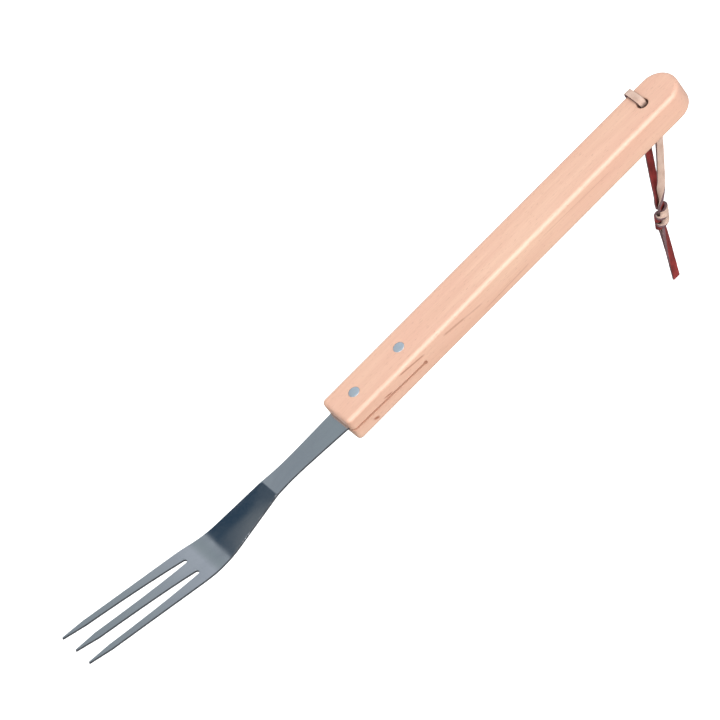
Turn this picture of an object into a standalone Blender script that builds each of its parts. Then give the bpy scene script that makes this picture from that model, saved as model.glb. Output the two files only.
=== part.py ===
"""Roasting fork: a three-tine sheet-steel blade riveted into a beech handle, with a leather hanging lace.

The fork is drawn level in its own axes: X runs to the rear of the handle, Z comes out of the face with the
rivet stems' heads, and the origin is the middle of the grip. It is then pitched tip down about the grip, as it
is held. The lace hangs plumb below the hanging hole and swings fore and aft there. Metres, +Z up.
"""

import math

import bmesh
import bpy
from mathutils import Matrix, Vector

MM = 0.001
HOLD_PITCH = math.radians(22.5)  # how far the tip points down as the fork is held

# Handle: one piece of beech
HANDLE_LENGTH = 238 * MM
HANDLE_WIDTH = 23.4 * MM
HANDLE_THICKNESS = 16.4 * MM
HANDLE_EDGE = 2.3 * MM  # rounding of every edge
REAR_CORNER = 11.6 * MM  # rounding of the rear end, seen from above
FRONT_CORNER = 2.4 * MM
GRIP_FROM_REAR = 65 * MM

# Saw kerf that takes the tang, with a relief hole at its end; it rises a little towards the front
KERF_RISE = math.radians(1.8)
KERF_MOUTH = 0.6 * MM  # height of its middle at the front end, over the handle's middle plane
KERF_DEPTH = 50.5 * MM
KERF_HEIGHT = 1.4 * MM
RELIEF_DIAMETER = 2.4 * MM

# Hanging hole
HOLE_DIAMETER = 6 * MM
HOLE_CHAMFER = 0.5 * MM
HOLE_FROM_REAR = 21 * MM

# Two-part rivets, flush with both faces of the handle
RIVETS_BEHIND_FRONT = {"front": 14.2 * MM, "rear": 45.4 * MM}
RIVET_HEAD_DIAMETER = 6 * MM
RIVET_HEAD_THICKNESS = 1.2 * MM
BARREL_DIAMETER = 4 * MM
BARREL_BORE = 2.8 * MM
BARREL_TOP = 5.4 * MM  # above the handle's middle plane
BARREL_FLOOR = 1.6 * MM  # solid metal below the bore
STEM_DIAMETER = 2.4 * MM
STEM_END = -4 * MM
RIVET_CLEARANCE = 0.2 * MM

# Blade: one flat blank, bent across at two places; lengths are along the sheet, ahead of the handle
SHEET = 1.2 * MM
TANG_LENGTH = 49.6 * MM
TANG_WIDTH = 15.5 * MM
TANG_CORNER = 2 * MM
NECK_LENGTH = 48.5 * MM
STEP_LENGTH = 39.2 * MM
HEAD_LENGTH = 14.5 * MM  # from the second bend to the bottom of the slots
TINE_LENGTH = 72 * MM

# (station, angle turned through, radius)
BENDS = (
    (NECK_LENGTH, math.radians(-7.1), 12 * MM),
    (NECK_LENGTH + STEP_LENGTH, math.radians(18.2), 55 * MM),
)
BEND_SLICES = 8

# Slope of the blade's edge at each station: it narrows to a waist and flares to the head
FLARE = ((0, -0.058), (27 * MM, -0.045), (35 * MM, 0), (49 * MM, 0.127), (94 * MM, 0.135), (105 * MM, 0))

# Edges of the slots: each runs from its root towards a far value, closing the distance over a decay length
SLOT_INNER = {"far": 1.8 * MM, "root": 4.3 * MM, "decay": 26 * MM}
SLOT_OUTER = {"far": 11.6 * MM, "root": 6.75 * MM, "decay": 43 * MM}
SLOT_STEPS = 9
TINE_POINT_LENGTH = 13 * MM
TINE_POINT_RADIUS = 0.4 * MM

# Leather lace: a flat strip
LACE_WIDTH = 4 * MM
LACE_THICKNESS = 1.8 * MM
BIGHT_STEP = 1.6 * MM  # spacing of the points that carry the strip, over the edge of the handle
STRAND_STEP = 5 * MM  # and where it hangs
PIVOT_DROP = 2.3 * MM  # the lace bends just under the hole
KNOT_SIZE = Vector((8, 7, 14)) * MM
KNOT_CAGE = 1.19  # the cage is this much larger than the rounded knot
KNOT_CENTRE = Vector((-0.6, 6.5, -60)) * MM  # from the pivot, as the routes below

# In the fork's own axes, from the middle of the hanging hole: out at the top, over the far edge and down
BIGHT_ROUTE = [
    (0, 0, -8.2), (0, 0, -4), (0, 0, 1), (0, 0, 4.8), (0, 0.25, 7.6), (0, 1.3, 9.0), (0, 3.2, 9.45),
    (0, 6.3, 9.45), (0, 9.4, 9.45), (0, 11.9, 8.4), (0, 12.95, 6), (0, 12.95, 3), (0, 12.95, -2), (0, 12.95, -8.2),
]
UNDER_ROUTE = [(0, 0, 0), (0, 0.3, -8), (-0.1, 1.3, -20), (-0.3, 3.1, -36), (-0.5, 4.9, -47), (-0.6, 5.4, -52.7)]
OVER_ROUTE = [(0, 13, 0), (0, 12.7, -8), (-0.1, 11.7, -20), (-0.3, 9.9, -36), (-0.5, 8.1, -47), (-0.6, 7.6, -52.7)]
TAIL_A_ROUTE = [(-0.6, 5.4, -67.3), (-0.3, 5.1, -73), (0.5, 4.4, -83), (1.3, 3.4, -92), (1.9, 2.6, -98)]
TAIL_B_ROUTE = [(-0.6, 7.6, -67.3), (-0.2, 7.6, -73), (0.8, 7.4, -82), (2.0, 7.0, -91), (2.8, 6.6, -97)]

FRONT_X = GRIP_FROM_REAR - HANDLE_LENGTH
HOLE_X = GRIP_FROM_REAR - HOLE_FROM_REAR
HALF_THICK = HANDLE_THICKNESS / 2
SLOT_START = NECK_LENGTH + STEP_LENGTH + HEAD_LENGTH
TIP = SLOT_START + TINE_LENGTH
ROUND_STEPS = 24


def clear_scene():
    for item in list(bpy.data.objects):
        bpy.data.objects.remove(item, do_unlink=True)


def new_collection(name):
    collection = bpy.data.collections.new(name)
    bpy.context.scene.collection.children.link(collection)
    return collection


def material(name, colour, roughness, metallic=0.0):
    result = bpy.data.materials.new(name)
    result.use_nodes = True
    shader = result.node_tree.nodes["Principled BSDF"]
    shader.inputs["Base Color"].default_value = (*colour, 1.0)
    shader.inputs["Roughness"].default_value = roughness
    shader.inputs["Metallic"].default_value = metallic
    return result


def make_object(name, mesh, collection, parent=None, finish=None):
    result = bpy.data.objects.new(name, mesh)
    collection.objects.link(result)
    result.parent = parent
    if finish:
        mesh.materials.clear()
        mesh.materials.append(finish)
    return result


def arc(centre, radius, start, end, count):
    """Points on an arc in the plane; start and end are in degrees."""
    points = []
    for step in range(count + 1):
        angle = math.radians(start + (end - start) * step / count)
        points.append((centre[0] + radius * math.cos(angle), centre[1] + radius * math.sin(angle)))
    return points


def plate_mesh(name, outline, thickness):
    """A flat plate from a closed outline in X and Y, centred on Z = 0."""
    curve = bpy.data.curves.new(name, "CURVE")
    curve.dimensions = "2D"
    curve.fill_mode = "BOTH"
    curve.extrude = thickness / 2
    spline = curve.splines.new("POLY")
    spline.points.add(len(outline) - 1)
    for point, (x, y) in zip(spline.points, outline):
        point.co = (x, y, 0, 1)
    spline.use_cyclic_u = True
    return mesh_from_curve(name, curve)


def mesh_from_curve(name, curve):
    guide = bpy.data.objects.new(name + "_curve", curve)
    bpy.context.scene.collection.objects.link(guide)
    depsgraph = bpy.context.evaluated_depsgraph_get()
    mesh = bpy.data.meshes.new_from_object(guide.evaluated_get(depsgraph))
    mesh.name = name
    bpy.data.objects.remove(guide, do_unlink=True)
    shape = bmesh.new()
    shape.from_mesh(mesh)
    bmesh.ops.remove_doubles(shape, verts=shape.verts, dist=1e-6)
    bmesh.ops.dissolve_limit(shape, angle_limit=math.radians(0.5), verts=shape.verts, edges=shape.edges)
    bmesh.ops.recalc_face_normals(shape, faces=shape.faces)
    shape.to_mesh(mesh)
    shape.free()
    return mesh


def turned(name, profile, collection):
    """A turned solid from (radius, height) points that run down its outer side, starting and ending on the axis."""
    mesh = bpy.data.meshes.new(name)
    edges = [(i, i + 1) for i in range(len(profile) - 1)]
    mesh.from_pydata([(radius, 0, height) for radius, height in profile], edges, [])
    result = make_object(name, mesh, collection)
    screw = result.modifiers.new("turn", "SCREW")
    screw.steps = screw.render_steps = ROUND_STEPS
    screw.use_merge_vertices = True
    screw.merge_threshold = 1e-6
    return result


def cut(target, cutter):
    boolean = target.modifiers.new("cut_" + cutter.name, "BOOLEAN")
    boolean.operation = "DIFFERENCE"
    boolean.solver = "EXACT"
    boolean.object = cutter
    cutter.hide_render = True
    cutter.display_type = "WIRE"


def soften(target, width, segments):
    bevel = target.modifiers.new("edges", "BEVEL")
    bevel.width = width
    bevel.segments = segments
    bevel.limit_method = "ANGLE"
    bevel.angle_limit = math.radians(40)


def handle_outline():
    """Plan of the handle: square front end, rounded rear end."""
    half = HANDLE_WIDTH / 2
    rear = GRIP_FROM_REAR - REAR_CORNER
    front = FRONT_X + FRONT_CORNER
    outline = arc((rear, -half + REAR_CORNER), REAR_CORNER, -90, 0, 8)
    outline += arc((rear, half - REAR_CORNER), REAR_CORNER, 0, 90, 8)
    outline += arc((front, half - FRONT_CORNER), FRONT_CORNER, 90, 180, 2)
    outline += arc((front, -half + FRONT_CORNER), FRONT_CORNER, 180, 270, 2)
    return outline


def kerf_cutter(cutters, tang_line):
    """A thin slab from ahead of the handle to the relief hole, and the relief hole across its end."""
    length = KERF_DEPTH - RELIEF_DIAMETER / 2
    overrun = 5 * MM
    bpy.ops.mesh.primitive_cube_add(size=1)
    slab = bpy.context.object
    slab.name = "kerf_slab"
    slab.scale = (length + overrun, HANDLE_WIDTH + overrun, KERF_HEIGHT)
    slab.location = ((length - overrun) / 2, 0, 0)
    bpy.ops.mesh.primitive_cylinder_add(vertices=16, radius=RELIEF_DIAMETER / 2, depth=HANDLE_WIDTH + overrun)
    relief = bpy.context.object
    relief.name = "kerf_relief"
    relief.rotation_euler = (math.radians(90), 0, 0)
    relief.location = (length, 0, 0)
    for item in (slab, relief):
        for collection in item.users_collection:
            collection.objects.unlink(item)
        cutters.objects.link(item)
        item.parent = tang_line
    return [slab, relief]


def rivet_hole(name, station, cutters, parent):
    """Through hole with a counterbore at each face, for one rivet."""
    bore = BARREL_DIAMETER / 2 + RIVET_CLEARANCE
    counterbore = RIVET_HEAD_DIAMETER / 2 + RIVET_CLEARANCE
    seat = HALF_THICK - RIVET_HEAD_THICKNESS - RIVET_CLEARANCE
    end = HALF_THICK + 1 * MM
    profile = [(0, end), (counterbore, end), (counterbore, seat), (bore, seat)]
    profile += [(radius, -height) for radius, height in reversed(profile)]
    cutter = turned(name, profile, cutters)
    cutter.parent = parent
    cutter.location = (FRONT_X + station, 0, 0)
    return cutter


def hanging_hole(cutters, parent):
    bore = HOLE_DIAMETER / 2
    over = 1 * MM
    rim = bore + HOLE_CHAMFER + over
    profile = [(0, HALF_THICK + over), (rim, HALF_THICK + over), (bore, HALF_THICK - HOLE_CHAMFER)]
    profile += [(radius, -height) for radius, height in reversed(profile)]
    cutter = turned("hanging_hole", profile, cutters)
    cutter.parent = parent
    cutter.location = (HOLE_X, 0, 0)
    return cutter


def make_handle(parts, cutters, fork, tang_line, rivet_holes):
    beech = material("beech", (0.78, 0.52, 0.36), 0.45)
    handle = make_object("handle", plate_mesh("handle", handle_outline(), HANDLE_THICKNESS), parts, fork, beech)
    soften(handle, HANDLE_EDGE, 4)
    for cutter in kerf_cutter(cutters, tang_line) + rivet_holes + [hanging_hole(cutters, fork)]:
        cut(handle, cutter)
    handle.data.shade_smooth()
    handle.data.set_sharp_from_angle(angle=math.radians(35))


def half_width(station):
    """Half width of the blank at a station ahead of the handle: the flare's slopes, added up."""
    total = TANG_WIDTH / 2
    for (start, slope), (end, next_slope) in zip(FLARE, FLARE[1:]):
        inside = min(station, end) - start
        if inside > 0:
            change = (next_slope - slope) * inside / (end - start)
            total += inside * (slope + change / 2)
    return total


def outer_edge():
    """(station, half width) along one side of the blank, from the tang to the end of the flare."""
    corner = (-TANG_LENGTH + TANG_CORNER, TANG_WIDTH / 2 - TANG_CORNER)
    edge = arc(corner, TANG_CORNER, 180, 90, 3)
    for (start, slope), (end, next_slope) in zip(FLARE, FLARE[1:]):
        steps = 1 if slope == next_slope else 4
        edge += [(at, half_width(at)) for at in (start + (end - start) * i / steps for i in range(steps))]
    return edge + [(FLARE[-1][0], half_width(FLARE[-1][0]))]


def slot_edge(edge, along):
    """Distance from the middle of the blade to a slot's edge, at a distance along the tine from the slot's root."""
    return edge["far"] + (edge["root"] - edge["far"]) * math.exp(-along / edge["decay"])


def half_blank():
    """One side of the blank, as (station, distance from the middle), from the tang's end to the middle tip."""
    straight = TINE_LENGTH - TINE_POINT_LENGTH
    side = half_width(TIP)
    outer_tip = (side + slot_edge(SLOT_OUTER, TINE_LENGTH)) / 2
    slot_middle = (SLOT_OUTER["root"] + SLOT_INNER["root"]) / 2
    root_radius = (SLOT_OUTER["root"] - SLOT_INNER["root"]) / 2
    places = [root_radius + (straight - root_radius) * step / SLOT_STEPS for step in range(1, SLOT_STEPS + 1)]
    edge = outer_edge()
    edge.append((SLOT_START + straight, side))
    edge += arc((TIP - TINE_POINT_RADIUS, outer_tip), TINE_POINT_RADIUS, 80, -80, 4)
    edge += [(SLOT_START + place, slot_edge(SLOT_OUTER, place)) for place in reversed(places)]
    edge += arc((SLOT_START + root_radius, slot_middle), root_radius, 90, 270, 6)
    edge += [(SLOT_START + place, slot_edge(SLOT_INNER, place)) for place in places]
    edge += arc((TIP - TINE_POINT_RADIUS, 0), TINE_POINT_RADIUS, 80, 20, 2)
    return edge


def blank_outline():
    """The flat blank in the plane, with its stations running forward from the mouth of the kerf."""
    side = [(-station, half) for station, half in half_blank()]
    return side + [(x, -half) for x, half in reversed(side)]


def bent_point(station, height):
    """X and Z of a point at this station of the blank, and at this height over its middle plane."""
    x, z, heading, reached = 0.0, 0.0, 0.0, 0.0
    for middle, turn, radius in BENDS:
        length = radius * abs(turn)
        flat = min(station, middle - length / 2) - reached
        x -= flat * math.cos(heading)
        z += flat * math.sin(heading)
        reached += flat
        inside = min(station - reached, length)
        if inside <= 0:
            break
        curl = turn / length
        after = heading + curl * inside
        x -= (math.sin(after) - math.sin(heading)) / curl
        z += (math.cos(heading) - math.cos(after)) / curl
        heading = after
        reached += inside
    x -= (station - reached) * math.cos(heading)
    z += (station - reached) * math.sin(heading)
    return x + height * math.sin(heading), z + height * math.cos(heading)


def slice_bends(shape):
    """Edges across the blank, so that it bends along arcs."""
    for middle, turn, radius in BENDS:
        length = radius * abs(turn)
        for step in range(BEND_SLICES + 1):
            station = middle + length * (step / BEND_SLICES - 0.5)
            everything = shape.verts[:] + shape.edges[:] + shape.faces[:]
            bmesh.ops.bisect_plane(shape, geom=everything, plane_co=(-station, 0, 0), plane_no=(1, 0, 0), dist=1e-7)


def make_blade(parts, tang_line, rivet_holes):
    steel = material("polished_steel", (0.62, 0.64, 0.67), 0.22, 1.0)
    mesh = plate_mesh("blade", blank_outline(), SHEET)
    shape = bmesh.new()
    shape.from_mesh(mesh)
    slice_bends(shape)
    for vert in shape.verts:
        if vert.co.x < 0:
            x, z = bent_point(-vert.co.x, vert.co.z)
            vert.co = (x, vert.co.y, z)
    shape.to_mesh(mesh)
    shape.free()
    blade = make_object("blade", mesh, parts, tang_line, steel)
    for cutter in rivet_holes:
        cut(blade, cutter)


def make_rivet(place, station, parts, fork):
    """Stem half from the top face, barrel half from the underside; the stem goes into the barrel."""
    steel = material("rivet_steel_" + place, (0.55, 0.60, 0.68), 0.35, 1.0)
    head = RIVET_HEAD_DIAMETER / 2
    seat = HALF_THICK - RIVET_HEAD_THICKNESS
    stem = STEM_DIAMETER / 2
    stem_profile = [(0, HALF_THICK), (head, HALF_THICK), (head, seat), (stem, seat), (stem, STEM_END), (0, STEM_END)]
    bore = BARREL_BORE / 2
    barrel = BARREL_DIAMETER / 2
    floor = -HALF_THICK + BARREL_FLOOR
    barrel_profile = [(0, floor), (bore, floor), (bore, BARREL_TOP), (barrel, BARREL_TOP), (barrel, -seat)]
    barrel_profile += [(head, -seat), (head, -HALF_THICK), (0, -HALF_THICK)]
    for half, profile in (("stem", stem_profile), ("barrel", barrel_profile)):
        rivet = turned("rivet_" + place + "_" + half, profile, parts)
        rivet.data.materials.append(steel)
        rivet.parent = fork
        rivet.location = (FRONT_X + station, 0, 0)


def smooth_route(points, spacing=STRAND_STEP):
    """Evenly spaced points on a smooth curve through the given points, which are in millimetres."""
    knots = [Vector(point) * MM for point in points]
    knots = [knots[0] * 2 - knots[1]] + knots + [knots[-1] * 2 - knots[-2]]
    fine = []
    for before, start, end, after in zip(knots, knots[1:], knots[2:], knots[3:]):
        for step in range(12):
            t = step / 12
            along = (end - before) * 0.5 * t + (before * 2 - start * 5 + end * 4 - after) * 0.5 * t * t
            fine.append(start + along + (start * 3 - before - end * 3 + after) * 0.5 * t ** 3)
    fine.append(knots[-2])
    total = sum((b - a).length for a, b in zip(fine, fine[1:]))
    count = max(3, round(total / spacing))
    route = [fine[0]]
    walked = 0.0
    for start, end in zip(fine, fine[1:]):
        length = (end - start).length
        while len(route) < count and walked + length >= total * len(route) / count:
            route.append(start.lerp(end, (total * len(route) / count - walked) / length))
        walked += length
    route.append(fine[-1])
    return route


def rounded_start(route):
    """The route with a half-round end added before it, as (point, scale) pairs; the end's centre is the first point."""
    back = (route[0] - route[1]).normalized()
    pairs = []
    for angle in (85, 65, 45, 25):
        turn = math.radians(angle)
        pairs.append((route[0] + back * math.sin(turn) * LACE_WIDTH / 2, math.cos(turn)))
    return pairs + [(point, 1.0) for point in route]


def make_lace(name, pairs, parts, parent, leather):
    """A flat strip along a route of (point, scale of its width): a ribbon across the X axis, thickened both ways."""
    mesh = bpy.data.meshes.new(name)
    ribbon = bmesh.new()
    points = [point for point, scale in pairs]
    ends = [points[0]] + points + [points[-1]]
    rows = []
    for before, after, (point, scale) in zip(ends, ends[2:], pairs):
        along = (after - before).normalized()
        across = Vector((1, 0, 0)) - along * along.x
        across *= scale * LACE_WIDTH / 2 / across.length
        rows.append((ribbon.verts.new(point - across), ribbon.verts.new(point + across)))
    for (left, right), (next_left, next_right) in zip(rows, rows[1:]):
        ribbon.faces.new((left, right, next_right, next_left))
    ribbon.to_mesh(mesh)
    ribbon.free()
    strip = make_object(name, mesh, parts, parent, leather)
    solidify = strip.modifiers.new("thickness", "SOLIDIFY")
    solidify.thickness = LACE_THICKNESS
    solidify.offset = 0


def make_knot(parts, pivot, leather):
    bpy.ops.mesh.primitive_cube_add(size=1)
    knot = bpy.context.object
    knot.name = "lace_knot"
    for vert in knot.data.vertices:
        vert.co = Vector(a * b for a, b in zip(vert.co, KNOT_SIZE * KNOT_CAGE))
    for collection in knot.users_collection:
        collection.objects.unlink(knot)
    parts.objects.link(knot)
    knot.parent = pivot
    knot.location = KNOT_CENTRE
    knot.data.materials.append(leather)
    rounding = knot.modifiers.new("rounding", "SUBSURF")
    rounding.levels = rounding.render_levels = 3


def make_empty(name, location, collection):
    empty = bpy.data.objects.new(name, None)
    collection.objects.link(empty)
    empty.location = location
    return empty


def main():
    clear_scene()
    parts = new_collection("roasting_fork")
    cutters = new_collection("cutters")
    fork = make_empty("fork_pose", (0, 0, 0), parts)
    fork.rotation_euler = (0, -HOLD_PITCH, 0)
    holes = []
    for place, station in RIVETS_BEHIND_FRONT.items():
        holes.append(rivet_hole("rivet_hole_" + place, station, cutters, fork))
        make_rivet(place, station, parts, fork)
    tang_line = make_empty("tang_line", (FRONT_X, 0, KERF_MOUTH), parts)
    tang_line.parent = fork
    tang_line.rotation_euler = (0, KERF_RISE, 0)
    make_handle(parts, cutters, fork, tang_line, holes)
    make_blade(parts, tang_line, holes)

    leather = material("leather", (0.30, 0.07, 0.05), 0.5)
    hole_place = Vector((HOLE_X, 0, 0))
    bight = [(point + hole_place, 1.0) for point in smooth_route(BIGHT_ROUTE, BIGHT_STEP)]
    make_lace("lace_bight", bight, parts, fork, leather)
    pivot_place = Matrix.Rotation(-HOLD_PITCH, 3, "Y") @ Vector((HOLE_X, 0, -HALF_THICK - PIVOT_DROP))
    pivot = make_empty("lace_pivot", pivot_place, parts)
    make_lace("lace_strand_under", rounded_start(smooth_route(UNDER_ROUTE)), parts, pivot, leather)
    make_lace("lace_strand_over", rounded_start(smooth_route(OVER_ROUTE)), parts, pivot, leather)
    make_knot(parts, pivot, leather)
    for name, route in (("lace_tail_a", TAIL_A_ROUTE), ("lace_tail_b", TAIL_B_ROUTE)):
        make_lace(name, [(point, 1.0) for point in smooth_route(route)], parts, pivot, leather)


main()
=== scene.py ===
"""Looks of the roasting fork: polished sheet steel, oiled beech, flush rivets and a knotted leather lace.

The fork's own axes are those of its CAD. X runs to the rear of the handle, Z comes out of its top face, and
the origin is in the middle of the grip. FORK turns them into the frame's axes, and PIVOT is where the lace
swings.
"""

import math

import bmesh
import bpy
from mathutils import Matrix, Vector, noise


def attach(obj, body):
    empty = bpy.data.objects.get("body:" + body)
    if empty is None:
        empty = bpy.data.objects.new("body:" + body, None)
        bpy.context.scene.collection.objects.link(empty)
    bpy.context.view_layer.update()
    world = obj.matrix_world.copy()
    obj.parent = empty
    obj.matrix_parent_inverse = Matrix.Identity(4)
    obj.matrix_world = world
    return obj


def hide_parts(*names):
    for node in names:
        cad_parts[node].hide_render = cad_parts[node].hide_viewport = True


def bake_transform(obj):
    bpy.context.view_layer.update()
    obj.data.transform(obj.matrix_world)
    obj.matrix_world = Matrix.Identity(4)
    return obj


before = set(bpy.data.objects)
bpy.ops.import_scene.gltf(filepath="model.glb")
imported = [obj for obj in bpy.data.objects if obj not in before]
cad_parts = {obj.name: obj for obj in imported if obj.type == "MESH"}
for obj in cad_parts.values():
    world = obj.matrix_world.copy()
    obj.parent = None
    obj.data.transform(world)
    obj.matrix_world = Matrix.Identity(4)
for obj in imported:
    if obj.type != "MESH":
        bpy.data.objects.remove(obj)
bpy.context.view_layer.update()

MM = 0.001
HOLD_PITCH = math.radians(22.5)
FORK = Matrix.Rotation(-HOLD_PITCH, 4, "Y")

# Handle
HANDLE_LENGTH = 238 * MM
HANDLE_WIDTH = 23.4 * MM
HANDLE_THICKNESS = 16.4 * MM
HANDLE_EDGE = 2.3 * MM
REAR_CORNER = 11.6 * MM
FRONT_CORNER = 2.4 * MM
GRIP_FROM_REAR = 65 * MM
KERF_RISE = math.radians(1.8)
KERF_MOUTH = 0.6 * MM
KERF_DEPTH = 50.5 * MM  # to the far side of the relief hole
KERF_HEIGHT = 1.4 * MM
RELIEF_DIAMETER = 2.4 * MM
HOLE_RADIUS = 3 * MM
HOLE_ROUNDING = 0.7 * MM
HOLE_FROM_REAR = 21 * MM

# Dark streaks of the grain on the near side: start and end as x and z, half thickness, strength
WOOD_STREAKS = (
    ((-138.8 * MM, 5.7 * MM), (-121.2 * MM, 3.75 * MM), 0.7 * MM, 0.65),
    ((-151.6 * MM, 1.9 * MM), (-145.0 * MM, 1.0 * MM), 0.6 * MM, 0.85),
    ((-109.0 * MM, 3.6 * MM), (-94.3 * MM, 1.8 * MM), 0.9 * MM, 0.5),
    ((-96.5 * MM, 2.0 * MM), (-82.8 * MM, 0.3 * MM), 0.7 * MM, 0.3),
    ((-161.8 * MM, -3.4 * MM), (-157.6 * MM, -4.8 * MM), 1.2 * MM, 0.95),
    ((-84 * MM, -4.2 * MM), (-52 * MM, -3.1 * MM), 0.35 * MM, 0.35),
    ((-40 * MM, 3.4 * MM), (8 * MM, 2.2 * MM), 0.3 * MM, 0.3),
)

# Rivets
RIVETS_BEHIND_FRONT = {"front": 14.2 * MM, "rear": 45.4 * MM}
RIVET_HEAD = 3 * MM
RIVET_HEAD_THICKNESS = 1.2 * MM
RIVET_GAP = 0.08 * MM
BARREL_RADIUS = 2 * MM
BARREL_BORE = 1.4 * MM
BARREL_MOUTH = 5.4 * MM  # this and the next two are heights over the handle's middle
BORE_BOTTOM = -6.6 * MM
STEM_END = -4 * MM
STEM_RADIUS = 1.2 * MM

# Blade
SHEET = 1.2 * MM
TANG_LENGTH = 49.6 * MM
TANG_WIDTH = 15.5 * MM
TANG_CORNER = 2 * MM
NECK_LENGTH = 48.5 * MM
STEP_LENGTH = 39.2 * MM
HEAD_LENGTH = 14.5 * MM
TINE_LENGTH = 72 * MM
BENDS = (  # station of the middle, turn and radius
    (NECK_LENGTH, math.radians(-7.1), 12 * MM),
    (NECK_LENGTH + STEP_LENGTH, math.radians(18.2), 55 * MM),
)
# Slope of the blade's sides at stations ahead of the handle
FLARE = ((0, -0.058), (27 * MM, -0.045), (35 * MM, 0), (49 * MM, 0.127), (94 * MM, 0.135), (105 * MM, 0))
# Slot edges, as distances from the blade's middle: at the slot's root, and what they tend to far from it
SLOT_INNER = {"far": 1.8 * MM, "root": 4.3 * MM, "decay": 26 * MM}
SLOT_OUTER = {"far": 11.6 * MM, "root": 6.75 * MM, "decay": 43 * MM}
TINE_POINT_LENGTH = 13 * MM
TINE_POINT_RADIUS = 0.4 * MM
SHEET_ROUNDING = 0.16 * MM
STEP_CROWN = 0.26 * MM

# Lace. Its stops and the knot's sizes are in millimetres. Each stop is a point and the direction of the
# strip's width, in degrees from X in plan
LACE_WIDTH = 4 * MM
LACE_THICKNESS = 1.8 * MM
LACE_CORNER = 0.35 * MM
LACE_STEP = 0.7 * MM
LACE_SLANT_REACH = 4 * MM  # the slanting cut of the far end fades in over this length
PIVOT_DROP = 2.3 * MM
LACE_IN_HOLE = [((0, 0, 1), 180), ((0, 0, -4), 180), ((0, 0, -8.2), 180)]  # from the middle of the hole
LACE_OVER_EDGE = [
    ((0, 0, 1), 0), ((0, 0, 4.8), 0), ((0, 0.25, 7.6), 0), ((0, 1.3, 9.0), 0), ((0, 3.2, 9.35), 0),
    ((0, 6.3, 9.3), 0), ((0, 9.4, 9.35), 0), ((0, 11.9, 8.4), 0), ((0, 12.95, 6), 0), ((0, 12.95, 3), 0),
    ((0, 12.95, -2), 0), ((0, 12.95, -8.2), 0),
]
STRAND_UNDER = [  # from the pivot, as the rest
    ((0, 0.1, -3), 178), ((0, 0.3, -8), 176), ((-0.1, 1.3, -20), 174), ((-0.3, 3.1, -36), 160),
    ((-0.5, 4.9, -47), 80), ((-0.6, 5.7, -53), 25), ((-0.6, 6.4, -58), 40), ((-0.6, 6.4, -62), 52),
    ((-0.6, 5.6, -67), 50), ((-0.35, 5.1, -73), 34), ((0.25, 4.5, -83), 14), ((0.75, 3.7, -92), -2),
    ((1.13, 3.07, -98), -8),
]
STRAND_OVER = [
    ((0, 13, -2), 0), ((0, 12.7, -8), 0), ((-0.1, 11.7, -20), -5), ((-0.3, 9.9, -36), -12),
    ((-0.5, 8.1, -47), -8), ((-0.6, 7.9, -51.0), -5),
]
TAIL_OVER = [
    ((-0.6, 8.0, -68.5), 195), ((-0.3, 7.7, -73), 220), ((0.5, 7.6, -82), 238), ((1.4, 7.4, -91), 238),
    ((2.0, 7.1, -97), 235),
]
KNOT_CENTRE = Vector((-0.6, 6.5, -60))
KNOT_RADIUS = (2.95, 3.05)
KNOT_TOP = 4.3
KNOT_TURN = (75, -615)  # degrees about the knot's middle, from X, where the wrapping starts and ends
KNOT_TILT = 1.9  # the turns stand this much higher on the right of the camera than at their middle
KNOT_TWISTS = ((-85, -165), (-285, -375), (-445, -525))  # half twists: grain out, flesh out, grain out

FRONT_X = GRIP_FROM_REAR - HANDLE_LENGTH
HOLE_X = GRIP_FROM_REAR - HOLE_FROM_REAR
HALF_THICK = HANDLE_THICKNESS / 2
SLOT_START = NECK_LENGTH + STEP_LENGTH + HEAD_LENGTH
SLOT_RADIUS = (SLOT_OUTER["root"] - SLOT_INNER["root"]) / 2
TINE_STRAIGHT = TINE_LENGTH - TINE_POINT_LENGTH
PIVOT = FORK @ Vector((HOLE_X, 0, -HALF_THICK - PIVOT_DROP))
TANG_LINE = FORK @ Matrix.Translation((FRONT_X, 0, KERF_MOUTH)) @ Matrix.Rotation(KERF_RISE, 4, "Y")

# Camera: its direction and distance from the middle of the grip, and its roll
CAMERA_AZIMUTH = math.radians(-31.44)
CAMERA_ELEVATION = math.radians(36.43)
CAMERA_ROLL = math.radians(-8.11)
CAMERA_DISTANCE = 3.0
CAMERA_LENS = 303.35
CAMERA_SENSOR = 36
CAMERA_AIM = (-112.16 * MM, -91.65 * MM)  # from the middle of the grip, to the right and up

# Studio, in metres
FORK_MIDDLE = Vector((-0.13, 0, -0.04))
FLOOR_HEIGHT = -1.7
FLOOR_SIZE = 40
FLOOR_GREY = (0.93, 0.93, 0.93)
SKY_STRENGTH = 0.6
SKY = (  # from straight below to straight above
    (0.0, (0.80, 0.80, 0.81)), (0.42, (0.62, 0.64, 0.67)), (0.55, (0.80, 0.82, 0.85)), (1.0, (1.0, 1.0, 1.0)),
)
LIGHTS = (  # name, direction from the fork's middle, distance, size and power
    ("key", (-0.11, -0.79, 0.60), 1.4, 1.1, 15.5),
    ("fill", (-0.75, 0.25, 0.75), 1.5, 0.8, 3.5),
)
EDGE_CARD_TOWARD = (-0.11, -0.70, 0.70)
EDGE_CARD_DISTANCE = 1.2
EDGE_CARD_SIZE = (1.8, 1.4)
EDGE_CARD_STRENGTH = 3.6
UNDER_CARD_HEIGHT = -0.22
UNDER_CARD_SIZE = (2.0, 1.8)
UNDER_CARD_GREY = (0.20, 0.19, 0.18)
REFLECTION_CARD_PLACE = (-0.15, 0.5, 0.45)
REFLECTION_CARD_SIZE = (1.5, 1.0)
REFLECTION_START = 0.60  # the place along the card is the card's own x plus this
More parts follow.
